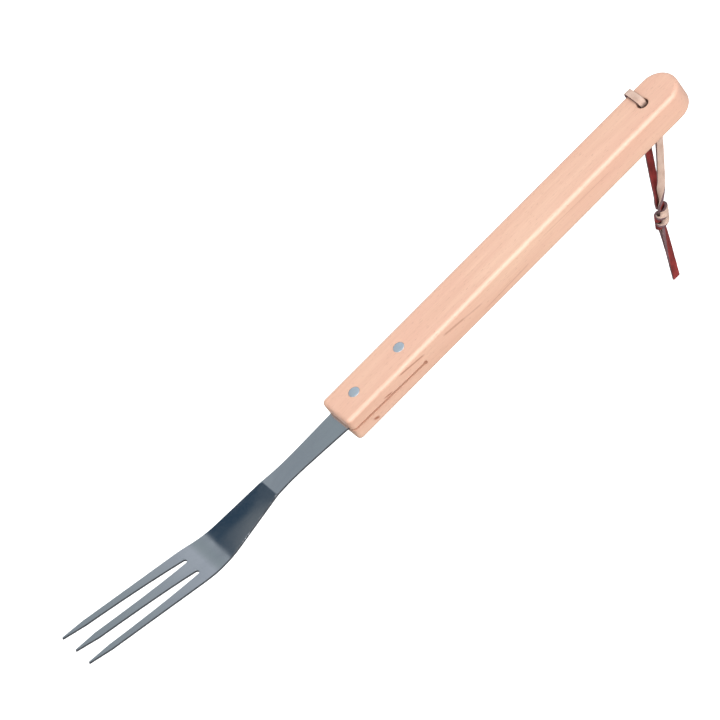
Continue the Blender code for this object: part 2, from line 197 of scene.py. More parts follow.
REFLECTION = (  # colours along the card
    (0.05, (0.30, 0.33, 0.37)),
    (0.18, (0.16, 0.185, 0.205)),
    (0.385, (0.16, 0.185, 0.205)),
    (0.402, (0.41, 0.455, 0.50)),
    (0.43, (0.37, 0.415, 0.46)),
    (0.465, (0.33, 0.38, 0.415)),
    (0.50, (0.33, 0.385, 0.415)),
    (0.545, (0.365, 0.415, 0.445)),
    (0.575, (0.49, 0.53, 0.59)),
    (0.66, (0.62, 0.66, 0.74)),
)
NAVY = (0.018, 0.052, 0.095)
NAVY_END = (0.385, 0.400)  # the navy fades out between these two places along the card
NAVY_SLOPE = 0.7  # of its slanting upper border
NAVY_TOP = (-0.28, -0.245)  # and between these two heights, where the place along the card is 0

# Colours of the materials
BEECH_PALE = (0.89, 0.57, 0.41)
BEECH_PINK = (0.80, 0.465, 0.325)
BEECH_CLOUD = (0.84, 0.475, 0.35)
BEECH_FIBRE = (0.62, 0.33, 0.21)
BEECH_FLECK = (0.48, 0.22, 0.12)
BEECH_STREAK = (0.40, 0.12, 0.055)
# colour of painted shade in the wood's hollows and creases, such as the saw's slot
BEECH_CREASE_SHADE = (0.16, 0.05, 0.025)
STEEL_FACE = ((0.66, 0.68, 0.70), (0.60, 0.62, 0.65))
STEEL_EDGE = ((0.15, 0.17, 0.20), (0.24, 0.26, 0.29))
STEEL_RIVET = ((0.74, 0.82, 0.88), (0.60, 0.69, 0.77))
# colour of painted shade in the lace's creases, between the knot's turns
LEATHER_CREASE_SHADE = (0.03, 0.008, 0.008)
LEATHER_SIDES = (  # name, dark and light colour, roughness, scale of the pores and their depth
    ("leather_grain", (0.13, 0.018, 0.016), (0.40, 0.050, 0.046), 0.42, (1500, 1800, 1), 0.00009),
    ("leather_flesh", (0.60, 0.40, 0.31), (0.80, 0.60, 0.50), 0.75, (2400, 2600, 1), 0.00014),
    ("leather_edge", (0.15, 0.085, 0.095), (0.28, 0.16, 0.17), 0.7, (2600, 2600, 1), 0.00014),
)


# ---------------------------------------------------------------- camera, floor and light


def make_camera():
    """The camera, at the photograph's viewing angle and with its framing."""
    toward = Vector((
        math.sin(CAMERA_AZIMUTH) * math.cos(CAMERA_ELEVATION),
        -math.cos(CAMERA_AZIMUTH) * math.cos(CAMERA_ELEVATION),
        math.sin(CAMERA_ELEVATION),
    ))
    level = Vector((math.cos(CAMERA_AZIMUTH), math.sin(CAMERA_AZIMUTH), 0))
    upright = toward.cross(level)
    right = level * math.cos(CAMERA_ROLL) + upright * math.sin(CAMERA_ROLL)
    up = upright * math.cos(CAMERA_ROLL) - level * math.sin(CAMERA_ROLL)
    place = toward * CAMERA_DISTANCE
    back = (place - right * CAMERA_AIM[0] - up * CAMERA_AIM[1]).normalized()
    side = up.cross(back).normalized()
    data = bpy.data.cameras.new("camera")
    data.lens = CAMERA_LENS
    data.sensor_width = CAMERA_SENSOR
    camera = bpy.data.objects.new("camera", data)
    bpy.context.scene.collection.objects.link(camera)
    turn = Matrix((side, back.cross(side), back)).transposed().to_4x4()
    camera.matrix_world = Matrix.Translation(place) @ turn
    bpy.context.scene.camera = camera


def add_object(name, mesh, place=None):
    item = bpy.data.objects.new(name, mesh)
    bpy.context.scene.collection.objects.link(item)
    if place is not None:
        item.matrix_world = place
    return item


def flat_mesh(name, width, height):
    """A rectangle in X and Y, centred on the origin."""
    mesh = bpy.data.meshes.new(name)
    x, y = width / 2, height / 2
    mesh.from_pydata([(-x, -y, 0), (x, -y, 0), (x, y, 0), (-x, y, 0)], [], [(0, 1, 2, 3)])
    return mesh


def make_floor():
    """A pale floor that shines, so that it is as white as the photograph's ground."""
    mesh = flat_mesh("floor", FLOOR_SIZE, FLOOR_SIZE)
    floor = add_object("floor", mesh, Matrix.Translation((0, 0, FLOOR_HEIGHT)))
    paint = plain("floor_paint", FLOOR_GREY, 0.9)
    shader = paint.node_tree.nodes["Principled BSDF"]
    shader.inputs["Emission Color"].default_value = (1, 1, 1, 1)
    shader.inputs["Emission Strength"].default_value = 1.0
    floor.data.materials.append(paint)


def facing_fork(toward, distance):
    """The place of a light or card in this direction from the fork's middle, turned to face it."""
    direction = Vector(toward).normalized()
    turn = direction.to_track_quat("Z", "Y").to_matrix().to_4x4()
    return Matrix.Translation(FORK_MIDDLE + direction * distance) @ turn


def area_light(name, toward, distance, size, power):
    """A square soft light."""
    data = bpy.data.lights.new(name, "AREA")
    data.shape = "SQUARE"
    data.size = size
    data.energy = power
    light = bpy.data.objects.new(name, data)
    bpy.context.scene.collection.objects.link(light)
    light.matrix_world = facing_fork(toward, distance)


def make_light():
    """The sky, the two soft lights and the cards."""
    world = bpy.data.worlds.new("studio")
    bpy.context.scene.world = world
    world.use_nodes = True
    nodes = world.node_tree
    background = nodes.nodes["Background"]
    background.inputs["Strength"].default_value = SKY_STRENGTH
    where = nodes.nodes.new("ShaderNodeTexCoord")
    split = nodes.nodes.new("ShaderNodeSeparateXYZ")
    nodes.links.new(where.outputs["Generated"], split.inputs[0])
    ramp = colour_ramp(nodes, SKY)
    height = math_node(nodes, "MULTIPLY_ADD", split.outputs["Z"], 0.5, 0.5)
    nodes.links.new(height, ramp.inputs[0])
    nodes.links.new(ramp.outputs["Color"], background.inputs["Color"])
    for light in LIGHTS:
        area_light(*light)
    make_reflection_card()
    make_edge_card()
    make_under_card()


def glow_card(name, size, place, strength):
    """A shining card that only gloss sees. Gives its nodes and the one for its colour."""
    card = add_object(name, flat_mesh(name, *size), place)
    paint = bpy.data.materials.new(name + "_glow")
    paint.use_nodes = True
    nodes = paint.node_tree
    nodes.nodes.clear()
    glow = nodes.nodes.new("ShaderNodeEmission")
    glow.inputs["Strength"].default_value = strength
    out = nodes.nodes.new("ShaderNodeOutputMaterial")
    nodes.links.new(glow.outputs[0], out.inputs["Surface"])
    card.data.materials.append(paint)
    card.visible_camera = False
    card.visible_diffuse = False
    card.visible_shadow = False
    card.visible_transmission = False
    return nodes, glow


def make_edge_card():
    """A bright card where the handle's near top edge mirrors it to the camera."""
    place = facing_fork(EDGE_CARD_TOWARD, EDGE_CARD_DISTANCE)
    glow_card("edge_card", EDGE_CARD_SIZE, place, EDGE_CARD_STRENGTH)


def make_under_card():
    """A grey card under the fork, out of the camera's sight, against the floor's glare on its underside."""
    place = Matrix.Translation((FORK_MIDDLE.x, 0, UNDER_CARD_HEIGHT))
    card = add_object("under_card", flat_mesh("under_card", *UNDER_CARD_SIZE), place)
    card.data.materials.append(plain("under_card_grey", UNDER_CARD_GREY, 0.9))
    card.visible_camera = False
    card.visible_shadow = False


def make_reflection_card():
    """An upright card behind the fork, dark at one end and pale at the other, as the room is in the steel."""
    place = Matrix.Translation(REFLECTION_CARD_PLACE) @ Matrix.Rotation(math.radians(90), 4, "X")
    nodes, glow = glow_card("reflection_card", REFLECTION_CARD_SIZE, place, 1.0)
    where = nodes.nodes.new("ShaderNodeTexCoord")
    split = nodes.nodes.new("ShaderNodeSeparateXYZ")
    nodes.links.new(where.outputs["Object"], split.inputs[0])
    along = math_node(nodes, "ADD", split.outputs["X"], REFLECTION_START)
    ramp = colour_ramp(nodes, REFLECTION)
    nodes.links.new(along, ramp.inputs[0])
    slant = math_node(nodes, "MULTIPLY", along, -NAVY_SLOPE)
    low = math_node(nodes, "ADD", split.outputs["Y"], slant)
    navy = math_node(
        nodes, "MULTIPLY", spread(nodes, along, *NAVY_END, 1.0, 0.0), spread(nodes, low, *NAVY_TOP, 1.0, 0.0)
    )
    colour = mix_colour(nodes, navy, ramp.outputs["Color"], NAVY)
    nodes.links.new(colour, glow.inputs["Color"])


# ---------------------------------------------------------------- node helpers


def plain(name, colour, roughness):
    """A material of one colour."""
    paint = bpy.data.materials.new(name)
    paint.use_nodes = True
    shader = paint.node_tree.nodes["Principled BSDF"]
    shader.inputs["Base Color"].default_value = (*colour, 1)
    shader.inputs["Roughness"].default_value = roughness
    return paint


def colour_ramp(nodes, stops):
    """A Color Ramp node with (place, colour) stops."""
    ramp = nodes.nodes.new("ShaderNodeValToRGB")
    elements = ramp.color_ramp.elements
    while len(elements) < len(stops):
        elements.new(0.5)
    for element, (place, colour) in zip(elements, stops):
        element.position = place
        element.color = (*colour, 1)
    return ramp


def math_node(nodes, operation, first, second=None, third=None):
    """A Math node; each input is a number or another node's output."""
    node = nodes.nodes.new("ShaderNodeMath")
    node.operation = operation
    for socket, value in zip(node.inputs, (first, second, third)):
        if isinstance(value, (int, float)):
            socket.default_value = value
        elif value is not None:
            nodes.links.new(value, socket)
    return node.outputs[0]


def stretched_noise(nodes, coordinates, scale, detail, roughness, distortion=0.0):
    """Noise with its own scale along each axis, in cycles per metre."""
    mapping = nodes.nodes.new("ShaderNodeMapping")
    mapping.inputs["Scale"].default_value = scale
    nodes.links.new(coordinates, mapping.inputs["Vector"])
    texture = nodes.nodes.new("ShaderNodeTexNoise")
    texture.inputs["Scale"].default_value = 1.0
    texture.inputs["Detail"].default_value = detail
    texture.inputs["Roughness"].default_value = roughness
    texture.inputs["Distortion"].default_value = distortion
    nodes.links.new(mapping.outputs[0], texture.inputs["Vector"])
    return texture.outputs[0]


def spread(nodes, value, low, high, to_low=0.0, to_high=1.0):
    """value taken from the range low to high onto the range to_low to to_high, and held inside it."""
    node = nodes.nodes.new("ShaderNodeMapRange")
    for name, number in (("From Min", low), ("From Max", high), ("To Min", to_low), ("To Max", to_high)):
        node.inputs[name].default_value = number
    nodes.links.new(value, node.inputs["Value"])
    return node.outputs[0]


def mix_colour(nodes, factor, first, second):
    """A Mix node; factor, first and second are plain values or other nodes' outputs."""
    node = nodes.nodes.new("ShaderNodeMix")
    node.data_type = "RGBA"
    for socket, value in ((node.inputs[0], factor), (node.inputs[6], first), (node.inputs[7], second)):
        if isinstance(value, (int, float)):
            socket.default_value = value
        elif isinstance(value, tuple):
            socket.default_value = (*value, 1)
        else:
            nodes.links.new(value, socket)
    return node.outputs[2]


def crease_shaded(nodes, colour, reach, strength, shade_colour):
    """The colour, darkened towards a colour of painted shade in hollows and creases, as far as the Ambient
    Occlusion node finds them occluded.
    """
    crease = nodes.nodes.new("ShaderNodeAmbientOcclusion")
    crease.inputs["Distance"].default_value = reach
    depth = spread(nodes, crease.outputs["AO"], 0.35, 0.9, strength, 0.0)
    return mix_colour(nodes, depth, colour, shade_colour)


def bump(nodes, height, distance, strength, before=None):
    """Relief from a height, on top of the relief from before."""
    node = nodes.nodes.new("ShaderNodeBump")
    node.inputs["Distance"].default_value = distance
    node.inputs["Strength"].default_value = strength
    nodes.links.new(height, node.inputs["Height"])
    if before is not None:
        nodes.links.new(before, node.inputs["Normal"])
    return node.outputs[0]


def new_material(name, coordinates="Object"):
    """A material with its shader and its coordinates: the strip's own, or the fork's axes in metres."""
    paint = bpy.data.materials.new(name)
    paint.use_nodes = True
    nodes = paint.node_tree
    place = nodes.nodes.new("ShaderNodeTexCoord").outputs[coordinates]
    if coordinates == "Object":
        turn = nodes.nodes.new("ShaderNodeMapping")
        turn.inputs["Rotation"].default_value = (0, HOLD_PITCH, 0)
        nodes.links.new(place, turn.inputs["Vector"])
        place = turn.outputs[0]
    return paint, nodes, nodes.nodes["Principled BSDF"], place


# ---------------------------------------------------------------- materials


def beech():
    """Oiled beech: long pale and pinkish streaks, fine fibres, the wood's short dark flecks, and painted
    shade in its hollows.
    """
    paint, nodes, shader, place = new_material("beech")
    streaks = stretched_noise(nodes, place, (9, 150, 150), 5, 0.55, 0.6)
    fibres = stretched_noise(nodes, place, (60, 1900, 1900), 4, 0.6)
    flecks = stretched_noise(nodes, place, (330, 2300, 2300), 1, 0.4)
    clouds = stretched_noise(nodes, place, (22, 45, 45), 3, 0.55)
    colour = mix_colour(nodes, spread(nodes, streaks, 0.30, 0.70), BEECH_PALE, BEECH_PINK)
    colour = mix_colour(nodes, spread(nodes, clouds, 0.35, 0.75, 0.0, 0.65), colour, BEECH_CLOUD)
    colour = mix_colour(nodes, spread(nodes, fibres, 0.45, 0.75, 0.0, 0.25), colour, BEECH_FIBRE)
    colour = mix_colour(nodes, spread(nodes, flecks, 0.66, 0.74, 0.0, 0.45), colour, BEECH_FLECK)
    split = nodes.nodes.new("ShaderNodeSeparateXYZ")
    nodes.links.new(place, split.inputs[0])
    for start, end, half, depth in WOOD_STREAKS:
        colour = mix_colour(nodes, streak(nodes, split, start, end, half, depth), colour, BEECH_STREAK)
    # painted shade: darker in the saw's slot, the relief hole and other hollows
    colour = crease_shaded(nodes, colour, 1.5 * MM, 0.85, BEECH_CREASE_SHADE)
    nodes.links.new(colour, shader.inputs["Base Color"])
    nodes.links.new(spread(nodes, fibres, 0.3, 0.8, 0.50, 0.64), shader.inputs["Roughness"])
    shader.inputs["Coat Weight"].default_value = 0.8
    shader.inputs["Coat Roughness"].default_value = 0.52
    height = bump(nodes, fibres, 0.00006, 0.5)
    nodes.links.new(bump(nodes, streaks, 0.0002, 0.3, height), shader.inputs["Normal"])
    return paint


def streak(nodes, split, start, end, half, depth):
    """Mask of one dark streak of the grain on the near side, from start to end, as x and z."""
    slope = (end[1] - start[1]) / (end[0] - start[0])
    line = math_node(nodes, "MULTIPLY_ADD", split.outputs["X"], slope, start[1] - slope * start[0])
    off = math_node(nodes, "ABSOLUTE", math_node(nodes, "SUBTRACT", split.outputs["Z"], line))
    fade = min(2 * MM, (end[0] - start[0]) / 3)
    mask = spread(nodes, off, 0.3 * half, half, depth, 0.0)
    for share in (
        spread(nodes, split.outputs["Y"], -10 * MM, -9 * MM, 1.0, 0.0),
        spread(nodes, split.outputs["X"], start[0], start[0] + fade),
        spread(nodes, split.outputs["X"], end[0] - fade, end[0], 1.0, 0.0),
    ):
        mask = math_node(nodes, "MULTIPLY", mask, share)
    return mask


def polished_steel():
    """Bright-rolled stainless sheet: soft reflections, hairlines along it and a very slight wave."""
    paint, nodes, shader, place = new_material("polished_steel")
    hairlines = stretched_noise(nodes, place, (90, 5200, 5200), 3, 0.6)
    wave = stretched_noise(nodes, place, (28, 55, 55), 1, 0.4)
    smears = stretched_noise(nodes, place, (45, 90, 90), 4, 0.6, 0.5)
    colour = mix_colour(nodes, spread(nodes, smears, 0.35, 0.7), *STEEL_FACE)
    nodes.links.new(colour, shader.inputs["Base Color"])
    shader.inputs["Metallic"].default_value = 1.0
    smeared = spread(nodes, smears, 0.3, 0.75, 0.10, 0.16)
    scratched = spread(nodes, hairlines, 0.4, 0.8, 0.0, 0.05)
    nodes.links.new(math_node(nodes, "ADD", smeared, scratched), shader.inputs["Roughness"])
    waved = bump(nodes, wave, 0.0004, 0.35)
    nodes.links.new(bump(nodes, hairlines, 0.00001, 0.35, waved), shader.inputs["Normal"])
    return paint


def sheared_edge():
    """The cut edge of the sheet: duller and darker, with fine marks across it."""
    paint, nodes, shader, place = new_material("sheared_edge")
    marks = stretched_noise(nodes, place, (4200, 900, 300), 3, 0.6)
    colour = mix_colour(nodes, spread(nodes, marks, 0.3, 0.7), *STEEL_EDGE)
    nodes.links.new(colour, shader.inputs["Base Color"])
    shader.inputs["Metallic"].default_value = 1.0
    nodes.links.new(spread(nodes, marks, 0.3, 0.8, 0.32, 0.48), shader.inputs["Roughness"])
    nodes.links.new(bump(nodes, marks, 0.00003, 0.5), shader.inputs["Normal"])
    return paint


def rivet_steel():
    """Rivet heads, ground flush with the wood: faint marks along the handle and a bluish tone."""
    paint, nodes, shader, place = new_material("rivet_steel")
    grinding = stretched_noise(nodes, place, (500, 4200, 4200), 3, 0.6)
    smears = stretched_noise(nodes, place, (320, 320, 320), 3, 0.6)
    colour = mix_colour(nodes, spread(nodes, smears, 0.35, 0.7), *STEEL_RIVET)
    nodes.links.new(colour, shader.inputs["Base Color"])
    shader.inputs["Metallic"].default_value = 1.0
    nodes.links.new(spread(nodes, smears, 0.3, 0.75, 0.36, 0.5), shader.inputs["Roughness"])
    nodes.links.new(bump(nodes, grinding, 0.00002, 0.4), shader.inputs["Normal"])
    return paint


def leather(name, dark, light, roughness, pores, relief):
    """One side or edge of the strip, with painted shade in its creases. Its coordinates run along and round
    the strip, in metres.
    """
    paint, nodes, shader, place = new_material(name, "UV")
    cloud = stretched_noise(nodes, place, (110, 240, 1), 3, 0.55)
    grain = stretched_noise(nodes, place, pores, 3, 0.6)
    colour = mix_colour(nodes, spread(nodes, cloud, 0.3, 0.7), dark, light)
    pore_colour = tuple(0.5 * part for part in dark)
    colour = mix_colour(nodes, spread(nodes, grain, 0.5, 0.75, 0.0, 0.4), colour, pore_colour)
    # painted shade between the knot's turns and in the strip's other creases
    colour = crease_shaded(nodes, colour, 3 * MM, 0.75, LEATHER_CREASE_SHADE)
    nodes.links.new(colour, shader.inputs["Base Color"])
    nodes.links.new(spread(nodes, grain, 0.3, 0.8, roughness, roughness + 0.15), shader.inputs["Roughness"])
    nodes.links.new(bump(nodes, grain, relief, 0.6), shader.inputs["Normal"])
    shader.inputs["Specular IOR Level"].default_value = 0.3
    return paint


# ---------------------------------------------------------------- mesh helpers


def evenly(low, high, count):
    """The ends of count equal parts of the range, with low and high themselves."""
    return [low + (high - low) * step / count for step in range(count + 1)]


def smoothstep(share):
    share = min(1.0, max(0.0, share))
    return share * share * (3 - 2 * share)


def finish_mesh(name, shape, paints, place=None):
    """An object of the finished shape, with the materials in the order of its faces' indices."""
    bmesh.ops.recalc_face_normals(shape, faces=shape.faces)
    mesh = bpy.data.meshes.new(name)
    shape.to_mesh(mesh)
    shape.free()
    item = add_object(name, mesh, place)
    for paint in paints:
        mesh.materials.append(paint)
    return item


def settle(item):
    """Moves the object's place into its mesh."""
    item.data.transform(item.matrix_world)
    item.matrix_world = Matrix.Identity(4)


def apply_modifiers(item):
    """Gives the object a mesh with its modifiers applied."""
    depsgraph = bpy.context.evaluated_depsgraph_get()
    mesh = bpy.data.meshes.new_from_object(item.evaluated_get(depsgraph))
    item.modifiers.clear()
    item.data = mesh


def smooth_faces(item, angle):
    """Smooth shading, sharp at edges of more than the angle, in degrees."""
    item.data.shade_smooth()
    item.data.set_sharp_from_angle(angle=math.radians(angle))
    weighted = item.modifiers.new("weighted", "WEIGHTED_NORMAL")
    weighted.keep_sharp = True


def turned(name, profile, place, paints=(), steps=48):
    """A turned solid from (radius, height) points; the first and last are on the axis."""
    shape = bmesh.new()
    rings = []
    for radius, height in profile:
        if radius == 0:
            rings.append([shape.verts.new((0, 0, height))])
            continue
        angles = [2 * math.pi * step / steps for step in range(steps)]
        rings.append([shape.verts.new((radius * math.cos(a), radius * math.sin(a), height)) for a in angles])
    for ring, following in zip(rings, rings[1:]):
        for i in range(steps):
            j = (i + 1) % steps
            if len(ring) == 1:
                shape.faces.new((ring[0], following[i], following[j]))
            elif len(following) == 1:
                shape.faces.new((ring[i], ring[j], following[0]))
            else:
                shape.faces.new((ring[i], ring[j], following[j], following[i]))
    return finish_mesh(name, shape, paints, place)


def cut(target, cutters):
    """Cuts every cutter from the target and removes it."""
    for cutter in cutters:
        boolean = target.modifiers.new("cut", "BOOLEAN")
        boolean.operation = "DIFFERENCE"
        boolean.solver = "EXACT"
        boolean.object = cutter
    apply_modifiers(target)
    for cutter in cutters:
        bpy.data.objects.remove(cutter, do_unlink=True)


# ---------------------------------------------------------------- handle and rivets


def handle_ring(inset):
    """Plan of the handle, drawn in by the inset."""
    half = HANDLE_WIDTH / 2
    rear = GRIP_FROM_REAR - REAR_CORNER
    front = FRONT_X + FRONT_CORNER
    corners = [  # middle, radius, start in degrees and number of steps of each round corner
        (rear, -half + REAR_CORNER, REAR_CORNER, -90, 20),
        (rear, half - REAR_CORNER, REAR_CORNER, 0, 20),
        (front, half - FRONT_CORNER, FRONT_CORNER, 90, 8),
        (front, -half + FRONT_CORNER, FRONT_CORNER, 180, 8),
    ]
    ring = []
    for x, y, radius, start, steps in corners:
        for step in range(steps + 1):
            angle = math.radians(start + 90 * step / steps)
            reach = radius - inset
            ring.append((x + reach * math.cos(angle), y + reach * math.sin(angle)))
    return ring


def make_handle(wood):
    """Rings of the plan, one above the other, drawn in round the top and bottom edges."""
    shape = bmesh.new()
    steps = 7
    flat = HALF_THICK - HANDLE_EDGE
    angles = [math.pi / 2 * step / steps for step in range(steps + 1)]
    levels = [(HANDLE_EDGE * (1 - math.cos(a)), flat + HANDLE_EDGE * math.sin(a)) for a in angles]
    levels = [(inset, -height) for inset, height in reversed(levels)] + levels
    rings = [[shape.verts.new((x, y, height)) for x, y in handle_ring(inset)] for inset, height in levels]
    for ring, above in zip(rings, rings[1:]):
        for i in range(len(ring)):
            j = (i + 1) % len(ring)
            shape.faces.new((ring[i], ring[j], above[j], above[i]))
    shape.faces.new(list(reversed(rings[0])))
    shape.faces.new(rings[-1])
    bmesh.ops.remove_doubles(shape, verts=shape.verts, dist=1e-6)
    handle = finish_mesh("handle_beech", shape, [wood], FORK)
    cut(handle, kerf_cutters() + [hole_cutter()] + [rivet_cutter(at) for at in RIVETS_BEHIND_FRONT.values()])
    settle(handle)
    smooth_faces(handle, 40)
    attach(handle, "fork")
    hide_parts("handle")


def kerf_cutters():
    """The saw's slot and the relief hole at its end. Both stand out of the handle's sides."""
    radius = RELIEF_DIAMETER / 2
    length = KERF_DEPTH - radius
    slab_spare, relief_spare = 5 * MM, 2 * MM
    slab = bmesh.new()
    bmesh.ops.create_cube(slab, size=1)
    for vert in slab.verts:
        vert.co = Vector((
            (vert.co.x + 0.5) * (length + slab_spare) - slab_spare,
            vert.co.y * (HANDLE_WIDTH + slab_spare),
            vert.co.z * KERF_HEIGHT,
        ))
    across = Matrix.Translation((length, 0, 0)) @ Matrix.Rotation(math.radians(90), 4, "X")
    half = HANDLE_WIDTH / 2 + relief_spare
    relief = [(0, half), (radius, half), (radius, -half), (0, -half)]
    return [
        finish_mesh("kerf_slab", slab, [], TANG_LINE),
        turned("kerf_relief", relief, TANG_LINE @ across, steps=28),
    ]


def mirrored(profile):
    """The profile's mirror image below the middle of the handle."""
    return [(radius, -height) for radius, height in profile]


def hole_cutter():
    """The hanging hole, with a rounded rim at both faces."""
    steps = 5
    rim = []
    for step in range(steps + 1):
        angle = math.pi / 2 * step / steps
        out = HOLE_ROUNDING * (1 - math.cos(angle))
        rim.append((HOLE_RADIUS + out, HALF_THICK - HOLE_ROUNDING + HOLE_ROUNDING * math.sin(angle)))
    end = HALF_THICK + MM
    top = [(0, end), (HOLE_RADIUS + HOLE_ROUNDING, end)] + rim[::-1]
    return turned("hole_cutter", top + mirrored(top[::-1]), FORK @ Matrix.Translation((HOLE_X, 0, 0)))


def on_axis(station):
    """A place on the handle's middle line, this far behind its front."""
    return FORK @ Matrix.Translation((FRONT_X + station, 0, 0))


def rivet_cutter(station):
    """The stepped hole of a rivet: a seat for each head and a hole for the barrel."""
    head = RIVET_HEAD + RIVET_GAP
    seat = HALF_THICK - RIVET_HEAD_THICKNESS - RIVET_GAP
    end = HALF_THICK + MM
    top = [(0, end), (head, end), (head, seat), (BARREL_RADIUS + RIVET_GAP, seat)]
    return turned("rivet_cutter", top + mirrored(top[::-1]), on_axis(station))


def rivet_head(height):
    """Profile of a rivet head, from the axis to its seat: nearly flat, with a small rounded rim."""
    rim = 0.12 * MM
    crown = 0.05 * MM
    points = [(0, height + crown), (0.6 * RIVET_HEAD, height + 0.7 * crown)]
    for step in range(5):
        angle = math.radians(90 - 22.5 * step)
        points.append((RIVET_HEAD - rim + rim * math.cos(angle), height - rim + rim * math.sin(angle)))
    return points + [(RIVET_HEAD, height - RIVET_HEAD_THICKNESS)]


def make_rivet(place, station, steel):
    """Stem half from above and barrel half from below, the stem inside the barrel."""
    seat = HALF_THICK - RIVET_HEAD_THICKNESS
    stem = rivet_head(HALF_THICK) + [(STEM_RADIUS, seat), (STEM_RADIUS, STEM_END), (0, STEM_END)]
    barrel = mirrored(rivet_head(HALF_THICK)) + [
        (BARREL_RADIUS, -seat), (BARREL_RADIUS, BARREL_MOUTH), (BARREL_BORE, BARREL_MOUTH),
        (BARREL_BORE, BORE_BOTTOM), (0, BORE_BOTTOM),
    ]
    for half, profile in (("stem", stem), ("barrel", barrel)):
        rivet = turned("steel_rivet_" + place + "_" + half, profile, on_axis(station), [steel])
        settle(rivet)
        smooth_faces(rivet, 50)
        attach(rivet, "fork")
        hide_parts("rivet_" + place + "_" + half)


# ---------------------------------------------------------------- blade


def half_width(station):
    """Half width of the blank at a station ahead of the handle: the flare's slopes, added up."""
    total = TANG_WIDTH / 2
    for (start, slope), (end, next_slope) in zip(FLARE, FLARE[1:]):
        inside = min(station, end) - start
        if inside > 0:
            total += inside * (slope + (next_slope - slope) * inside / (end - start) / 2)
    return total


def bent_point(station, height):
    """X and Z of a point at this station of the blank, and at this height over its middle plane."""
    x, z, heading, reached = 0.0, 0.0, 0.0, 0.0
    for middle, turn, radius in BENDS:
        length = radius * abs(turn)
        flat = min(station, middle - length / 2) - reached
        x -= flat * math.cos(heading)
        z += flat * math.sin(heading)
        reached += flat
        inside = min(station - reached, length)
        if inside <= 0:
            break
        curl = turn / length
        after = heading + curl * inside
        x -= (math.sin(after) - math.sin(heading)) / curl
        z += (math.cos(heading) - math.cos(after)) / curl
        heading = after
        reached += inside
    x -= (station - reached) * math.cos(heading)
    z += (station - reached) * math.sin(heading)
    return x + height * math.sin(heading), z + height * math.cos(heading)


def blade_point(station, across, level):
    """A point of the sheet. Between its bends the step stands a hair higher in its middle."""
    share = (station - NECK_LENGTH) / STEP_LENGTH
    crown = 0.0
    if 0 < share < 1:
        inward = 1 - (across / half_width(station)) ** 2
        crown = STEP_CROWN * math.sin(math.pi * share) ** 2 * inward
    x, z = bent_point(station, level + crown)
    return x, across, z


def slot_edge(edge, along):
    """Distance from the middle of the blade to a slot's edge, at a distance from the slot's root."""
    return edge["far"] + (edge["root"] - edge["far"]) * math.exp(-along / edge["decay"])


def tine_edges(along):
    """Edges of the slot and outer edge of the blade, at a distance from the slot's root."""
    at = min(along, TINE_STRAIGHT)
    inner, outer = slot_edge(SLOT_INNER, at), slot_edge(SLOT_OUTER, at)
    opening = math.sqrt(max(0.0, 1 - (1 - at / SLOT_RADIUS) ** 2)) if at < SLOT_RADIUS else 1.0
    middle, gap = (inner + outer) / 2, (outer - inner) / 2 * opening
    inner, outer, side = middle - gap, middle + gap, half_width(SLOT_START + at)
    if along > TINE_STRAIGHT:
        centre = (side + slot_edge(SLOT_OUTER, TINE_LENGTH)) / 2
        tip = TINE_POINT_RADIUS
        share = min(1.0, (along - TINE_STRAIGHT) / (TINE_LENGTH - tip - TINE_STRAIGHT))
        round_off = max(0.0, along - (TINE_LENGTH - tip)) / tip
        width = tip * math.sqrt(max(0.0, 1 - min(1.0, round_off) ** 2))
        inner += (width - inner) * share
        outer += (centre - width - outer) * share
        side += (centre + width - side) * share
    return inner, outer, side


def blade_stations():
    """Stations of the rows up to the slots, and the tines' rows by their distance from the slots' roots."""
    before = [-TANG_LENGTH + distance * MM for distance in (0, 0.15, 0.6, 1.3, 2.0)]
    before += evenly(TANG_CORNER - TANG_LENGTH, 0, 14)[1:]
    before += evenly(0, NECK_LENGTH, 26)[1:-1]
    for middle, turn, radius in BENDS:
        length = radius * abs(turn)
        before += evenly(middle - length / 2, middle + length / 2, 12)
    # The flat stretches of the step and the head, clear of the bends
    step_end = NECK_LENGTH + STEP_LENGTH
    before += evenly(NECK_LENGTH + 1.5 * MM, step_end - 9.5 * MM, 22)[:-1]
    before += evenly(step_end + 9.2 * MM, SLOT_START, 4)[:-1]
    tip = TINE_POINT_RADIUS
    tines = [SLOT_RADIUS * (1 - math.cos(math.radians(15 * step))) for step in range(7)]
    tines += evenly(SLOT_RADIUS, TINE_STRAIGHT, 26)[1:]
    tines += evenly(TINE_STRAIGHT, TINE_LENGTH - tip, 7)[1:]
    tines += [TINE_LENGTH - tip + tip * math.sin(math.radians(18 * step)) for step in range(1, 5)]
    return sorted(set(before)), tines


def tang_half(station):
    """Half width of the blank, which has round corners at the tang's end."""
    into = (station + TANG_LENGTH) / TANG_CORNER
    if into >= 1:
        return half_width(station)
    return TANG_WIDTH / 2 - TANG_CORNER + TANG_CORNER * math.sqrt(max(0.0, 1 - (1 - into) ** 2))


def blade_rows():
    """Rows across the blank, each a station and the sides of its near, middle and far strip."""
    before, tines = blade_stations()
    ratio = (SLOT_OUTER["root"] + SLOT_INNER["root"]) / 2 / half_width(SLOT_START)
    rows = []
    for station in before:
        half = tang_half(station)
        split = half * ratio
        rows.append((station, [(-half, -split), (-split, split), (split, half)]))
    for along in tines:
        inner, outer, side = tine_edges(along)
        rows.append((SLOT_START + along, [(-side, -outer), (-inner, inner), (outer, side)]))
    return rows


